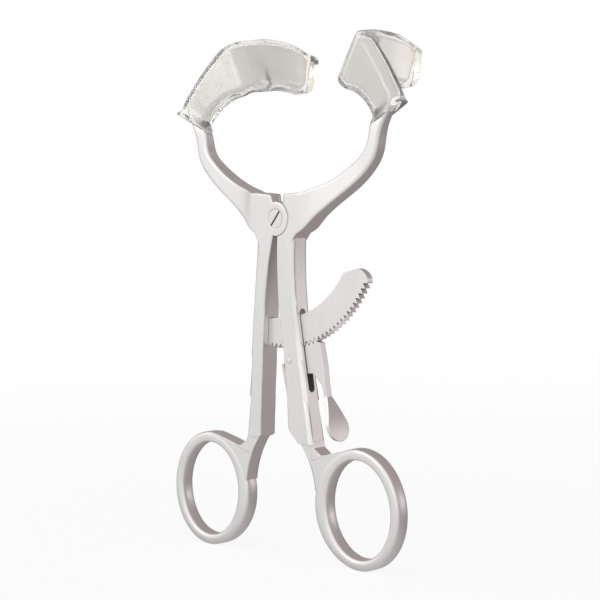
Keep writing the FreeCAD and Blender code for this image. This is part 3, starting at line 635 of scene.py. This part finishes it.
def bar_section(shape, place, outward, width, depth, rounding):
    """One rounded oblong section of a ring's bar, as a loop of edges in the order they were made."""
    made = bmesh.ops.create_circle(shape, cap_ends=False, segments=SECTION_POINTS, radius=rounding)
    front = Vector((0.0, 1.0, 0.0))
    turned = Matrix((outward, front, outward.cross(front))).transposed()
    half_segment = math.pi / SECTION_POINTS
    for vertex in made["verts"]:
        flat = Matrix.Rotation(half_segment, 3, "Z") @ vertex.co
        flat.x += math.copysign(width / 2 - rounding, flat.x)
        flat.y += math.copysign(depth / 2 - rounding, flat.y)
        vertex.co = place + turned @ flat
    return list(dict.fromkeys(edge for vertex in made["verts"] for edge in vertex.link_edges))


def ring_band(shape, looks):
    """The bar of the right finger ring, swelling on the side where the shank runs into it."""
    turn = Matrix.Rotation(-looks.tilt, 3, "Y")
    centre = Vector(looks.centre)
    loops = []
    for step in range(RING_STEPS):
        angle = 2 * math.pi * step / RING_STEPS
        cosine, sine = math.cos(angle), math.sin(angle)
        flat = Vector((looks.half_width * cosine, 0.0, looks.half_height * sine))
        across = Vector((cosine / looks.half_width, 0.0, sine / looks.half_height)).normalized()
        ahead = math.degrees((angle - math.pi) % (2 * math.pi))
        share = max(0.0, 1.0 - min(ahead, 360 - ahead) / SWELL_ANGLE)
        swell = looks.swell * share * share * (3 - 2 * share)
        place = centre + turn @ (flat + across * (swell / 2))
        width = looks.bar + swell
        loops.append(bar_section(shape, place, turn @ across, width, looks.depth, looks.rounding))
    for step in range(RING_STEPS):
        bmesh.ops.bridge_loops(shape, edges=loops[step - 1] + loops[step])


def corner_plate(shape, looks):
    """The plate that fills the corner between the right shank and its ring, bowed on its free side."""
    front = -looks.depth / 2
    root, upper, lower = [Vector((x * MM, front, z * MM)) for x, z in CORNER_POINTS]
    bend = root.lerp((upper + lower) / 2, CORNER_BOW)
    outline = [shape.verts.new(root)]
    for step in range(CORNER_STEPS + 1):
        share = step / CORNER_STEPS
        point = upper.lerp(bend, share).lerp(bend.lerp(lower, share), share)
        outline.append(shape.verts.new(point))
    face = shape.faces.new(outline)
    back = bmesh.ops.extrude_face_region(shape, geom=[face])
    moved = [part for part in back["geom"] if isinstance(part, bmesh.types.BMVert)]
    bmesh.ops.translate(shape, verts=moved, vec=(0.0, looks.depth, 0.0))


class GAG_OT_rings(bpy.types.Operator):
    """Make the ground bands of the finger rings and the plates in the corners beside the shanks"""

    bl_idname = "gag.rings"
    bl_label = "Ring bands"

    def execute(self, context):
        looks = context.scene.gag_ring
        satin = bpy.data.materials["satin_steel"]
        for side, mirror in HALVES:
            shape = bmesh.new()
            ring_band(shape, looks)
            corner_plate(shape, looks)
            bmesh.ops.scale(shape, vec=(mirror, 1.0, 1.0), verts=shape.verts)
            bmesh.ops.recalc_face_normals(shape, faces=shape.faces)
            name = side + "_ring_band"
            mesh = bpy.data.meshes.new(name)
            shape.to_mesh(mesh)
            shape.free()
            mesh.shade_smooth()
            mesh.set_sharp_from_angle(angle=SMOOTH_ANGLE)
            mesh.materials.append(satin)
            piece = bpy.data.objects.new(name, mesh)
            context.scene.collection.objects.link(piece)
            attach(piece, side)
        return {"FINISHED"}


def moulded_wall(context, node, name, cell):
    """The sleeve's wall with the soft rounded edges that moulding gives it."""
    piece = copied_solid(context, node, name)
    mesh = piece.data
    cells = piece.modifiers.new("cells", "REMESH")
    cells.mode = "VOXEL"
    cells.voxel_size = cell
    cells.use_smooth_shade = True
    soft = piece.modifiers.new("soft edges", "SMOOTH")
    soft.factor = 0.5
    soft.iterations = SOFTENING_ROUNDS
    context.view_layer.update()
    finished = piece.evaluated_get(context.evaluated_depsgraph_get())
    piece.data = bpy.data.meshes.new_from_object(finished)
    piece.data.name = name
    piece.modifiers.clear()
    bpy.data.meshes.remove(mesh)
    return piece


def clear_of_steel(piece, half, gap):
    """Moves the points of the wall that reach into the steel just off its surface."""
    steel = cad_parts[half].data
    points = [vertex.co for vertex in steel.vertices]
    surface = BVHTree.FromPolygons(points, [face.vertices for face in steel.polygons])
    for vertex in piece.data.vertices:
        touch, normal, _, away = surface.find_nearest(vertex.co, STEEL_REACH)
        if touch is None:
            continue
        offset = vertex.co - touch
        if offset.dot(normal) < INSIDE_SHARE * away:
            vertex.co = touch + normal * gap
        elif away < gap:
            vertex.co = touch + offset.normalized() * gap


class GAG_OT_sleeves(bpy.types.Operator):
    """Make the silicone sleeves over both blades"""

    bl_idname = "gag.sleeves"
    bl_label = "Silicone sleeves"

    def execute(self, context):
        looks = context.scene.gag_sleeve
        silicone = silicone_material(looks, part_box(SLEEVES[0][0])[1].y)
        for node, body, name in SLEEVES:
            piece = moulded_wall(context, node, name, looks.cell)
            clear_of_steel(piece, body + "_half", looks.inner_gap)
            piece.data.materials.clear()
            piece.data.materials.append(silicone)
            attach(piece, body)
            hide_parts(node)
        return {"FINISHED"}


class GAG_OT_stage(bpy.types.Operator):
    """Set the camera, the pale floor and the soft studio light"""

    bl_idname = "gag.stage"
    bl_label = "Studio stage"

    def execute(self, context):
        looks = context.scene.gag_stage
        make_camera(context, looks)
        make_floor(context, CAD_BOX[0].z)
        make_world(context)
        make_lamps(context)
        context.scene.view_settings.view_transform = "Standard"
        return {"FINISHED"}


def make_camera(context, looks):
    """The photograph's camera, solved from the object's own proportions."""
    azimuth, elevation, roll = looks.azimuth, looks.elevation, looks.roll
    back = Vector((
        math.sin(azimuth) * math.cos(elevation),
        -math.cos(azimuth) * math.cos(elevation),
        math.sin(elevation),
    ))
    level = Vector((math.cos(azimuth), math.sin(azimuth), 0.0))
    raised = back.cross(level)
    right = level * math.cos(roll) + raised * math.sin(roll)
    up = raised * math.cos(roll) - level * math.sin(roll)
    shift = looks.distance / looks.focal_pixels
    place = back * looks.distance - right * (looks.pivot_right * shift) - up * (looks.pivot_up * shift)
    lens = bpy.data.cameras.new("camera")
    lens.sensor_width = SENSOR_WIDTH
    lens.lens = looks.focal_pixels / IMAGE_PIXELS * SENSOR_WIDTH
    lens.clip_start = 10 * MM
    lens.clip_end = 50.0
    camera = bpy.data.objects.new("camera", lens)
    camera.matrix_world = Matrix((
        (right.x, up.x, back.x, place.x),
        (right.y, up.y, back.y, place.y),
        (right.z, up.z, back.z, place.z),
        (0.0, 0.0, 0.0, 1.0),
    ))
    context.scene.collection.objects.link(camera)
    context.scene.camera = camera


def surroundings_group():
    """Node group of the studio's light: white cards, and a grey one behind the object."""
    name = "Studio cards"
    if name in bpy.data.node_groups:
        return bpy.data.node_groups[name]
    tree, start, end = new_group(
        name,
        (("Vector", "NodeSocketVector", None),),
        (("Color", "NodeSocketColor"),),
    )
    aim = tree.nodes.new("ShaderNodeVectorMath")
    aim.operation = "NORMALIZE"
    node_link(tree, start, "Vector", aim, 0)
    turn = tree.nodes.new("ShaderNodeVectorMath")
    turn.operation = "DOT_PRODUCT"
    turn.inputs[1].default_value = Vector(GREY_CARD_SIDE).normalized()
    node_link(tree, aim, "Vector", turn, 0)
    grey = range_node(tree, turn.outputs["Value"], GREY_FROM, GREY_TO, 0.0, 1.0)
    tree.links.new(mix_node(tree, grey, WHITE_CARD, GREY_CARD), end.inputs["Color"])
    return tree


def surroundings(tree, place, output):
    """The colour of the studio's cards in the direction that a node gives."""
    cards = tree.nodes.new("ShaderNodeGroup")
    cards.node_tree = surroundings_group()
    node_link(tree, place, output, cards, "Vector")
    return cards.outputs["Color"]


def background_rays(tree):
    """1 for the rays that see the white background itself."""
    seen = tree.nodes.new("ShaderNodeLightPath")
    return math_node(tree, "MAXIMUM", seen.outputs["Is Camera Ray"], seen.outputs["Is Transmission Ray"])


def make_floor(context, low):
    """Round pale floor under the finger rings; far away it is as white as the background."""
    shape = bmesh.new()
    bmesh.ops.create_circle(shape, cap_ends=True, segments=96, radius=FLOOR_RADIUS)
    bmesh.ops.translate(shape, verts=shape.verts, vec=(0.0, 0.0, low - FLOOR_DROP))
    mesh = bpy.data.meshes.new("floor")
    shape.to_mesh(mesh)
    shape.free()
    floor = bpy.data.objects.new("floor", mesh)
    context.scene.collection.objects.link(floor)
    material = bpy.data.materials.new("floor")
    material.use_nodes = True
    tree = material.node_tree
    matt = tree.nodes["Principled BSDF"]
    matt.inputs["Base Color"].default_value = (FLOOR_PAINT, FLOOR_PAINT, FLOOR_PAINT, 1.0)
    matt.inputs["Roughness"].default_value = 0.9
    place = tree.nodes.new("ShaderNodeTexCoord")
    glow = tree.nodes.new("ShaderNodeEmission")
    cards = tree.nodes.new("ShaderNodeVectorMath")
    cards.operation = "SCALE"
    cards.inputs["Scale"].default_value = FLOOR_SHADE
    tree.links.new(surroundings(tree, place, "Object"), cards.inputs[0])
    shown = mix_node(tree, background_rays(tree), cards.outputs["Vector"], WHITE)
    tree.links.new(shown, glow.inputs["Color"])
    away = tree.nodes.new("ShaderNodeVectorMath")
    away.operation = "LENGTH"
    node_link(tree, place, "Object", away, 0)
    share = range_node(tree, away.outputs["Value"], GLOW_NEAR, GLOW_FAR, *GLOW_SHARES)
    mix = tree.nodes.new("ShaderNodeMixShader")
    tree.links.new(share, mix.inputs["Fac"])
    tree.links.new(matt.outputs["BSDF"], mix.inputs[1])
    tree.links.new(glow.outputs["Emission"], mix.inputs[2])
    tree.links.new(mix.outputs["Shader"], tree.nodes["Material Output"].inputs["Surface"])
    mesh.materials.append(material)


def make_world(context):
    """White surroundings with a grey card, as the satin steel mirrors them."""
    world = bpy.data.worlds.new("studio")
    context.scene.world = world
    world.use_nodes = True
    tree = world.node_tree
    place = tree.nodes.new("ShaderNodeTexCoord")
    cards = surroundings(tree, place, "Generated")
    shown = mix_node(tree, background_rays(tree), cards, WHITE)
    tree.links.new(shown, tree.nodes["Background"].inputs["Color"])


def make_lamps(context):
    """A large soft lamp at the front left and a weaker one at the back right."""
    for name, place, size, power in LAMPS:
        lamp = bpy.data.lights.new(name, "AREA")
        lamp.shape = "SQUARE"
        lamp.size = size
        lamp.energy = power
        box = bpy.data.objects.new(name, lamp)
        box.location = place
        box.rotation_euler = Vector(place).to_track_quat("Z", "Y").to_euler()
        context.scene.collection.objects.link(box)


class GAG_PT_panel(bpy.types.Panel):
    """Buttons and sizes of the mouth gag"""

    bl_label = "Mouth gag"
    bl_idname = "GAG_PT_panel"
    bl_space_type = "VIEW_3D"
    bl_region_type = "UI"
    bl_category = "Mouth gag"

    def draw(self, context):
        layout = self.layout
        scene = context.scene
        for group in (scene.gag_steel, scene.gag_ring, scene.gag_sleeve, scene.gag_stage):
            for key in group.bl_rna.properties.keys():
                if key not in ("rna_type", "name"):
                    layout.prop(group, key)
        for operator in OPERATORS:
            layout.operator(operator.bl_idname)


GROUPS = (SteelLooks, RingLooks, SleeveLooks, StageLooks)
OPERATORS = (
    GAG_OT_steel,
    GAG_OT_rings,
    GAG_OT_fasteners,
    GAG_OT_spring,
    GAG_OT_sleeves,
    GAG_OT_stage,
)


def register():
    for group in GROUPS:
        bpy.utils.register_class(group)
    bpy.types.Scene.gag_steel = bpy.props.PointerProperty(type=SteelLooks)
    bpy.types.Scene.gag_ring = bpy.props.PointerProperty(type=RingLooks)
    bpy.types.Scene.gag_sleeve = bpy.props.PointerProperty(type=SleeveLooks)
    bpy.types.Scene.gag_stage = bpy.props.PointerProperty(type=StageLooks)
    for operator in OPERATORS:
        bpy.utils.register_class(operator)
    bpy.utils.register_class(GAG_PT_panel)


def unregister():
    bpy.utils.unregister_class(GAG_PT_panel)
    for operator in reversed(OPERATORS):
        bpy.utils.unregister_class(operator)
    del bpy.types.Scene.gag_stage
    del bpy.types.Scene.gag_sleeve
    del bpy.types.Scene.gag_ring
    del bpy.types.Scene.gag_steel
    for group in reversed(GROUPS):
        bpy.utils.unregister_class(group)


def main():
    register()
    bpy.ops.gag.steel()
    bpy.ops.gag.rings()
    bpy.ops.gag.fasteners()
    bpy.ops.gag.spring()
    bpy.ops.gag.sleeves()
    bpy.ops.gag.stage()


if __name__ == "__main__":
    main()
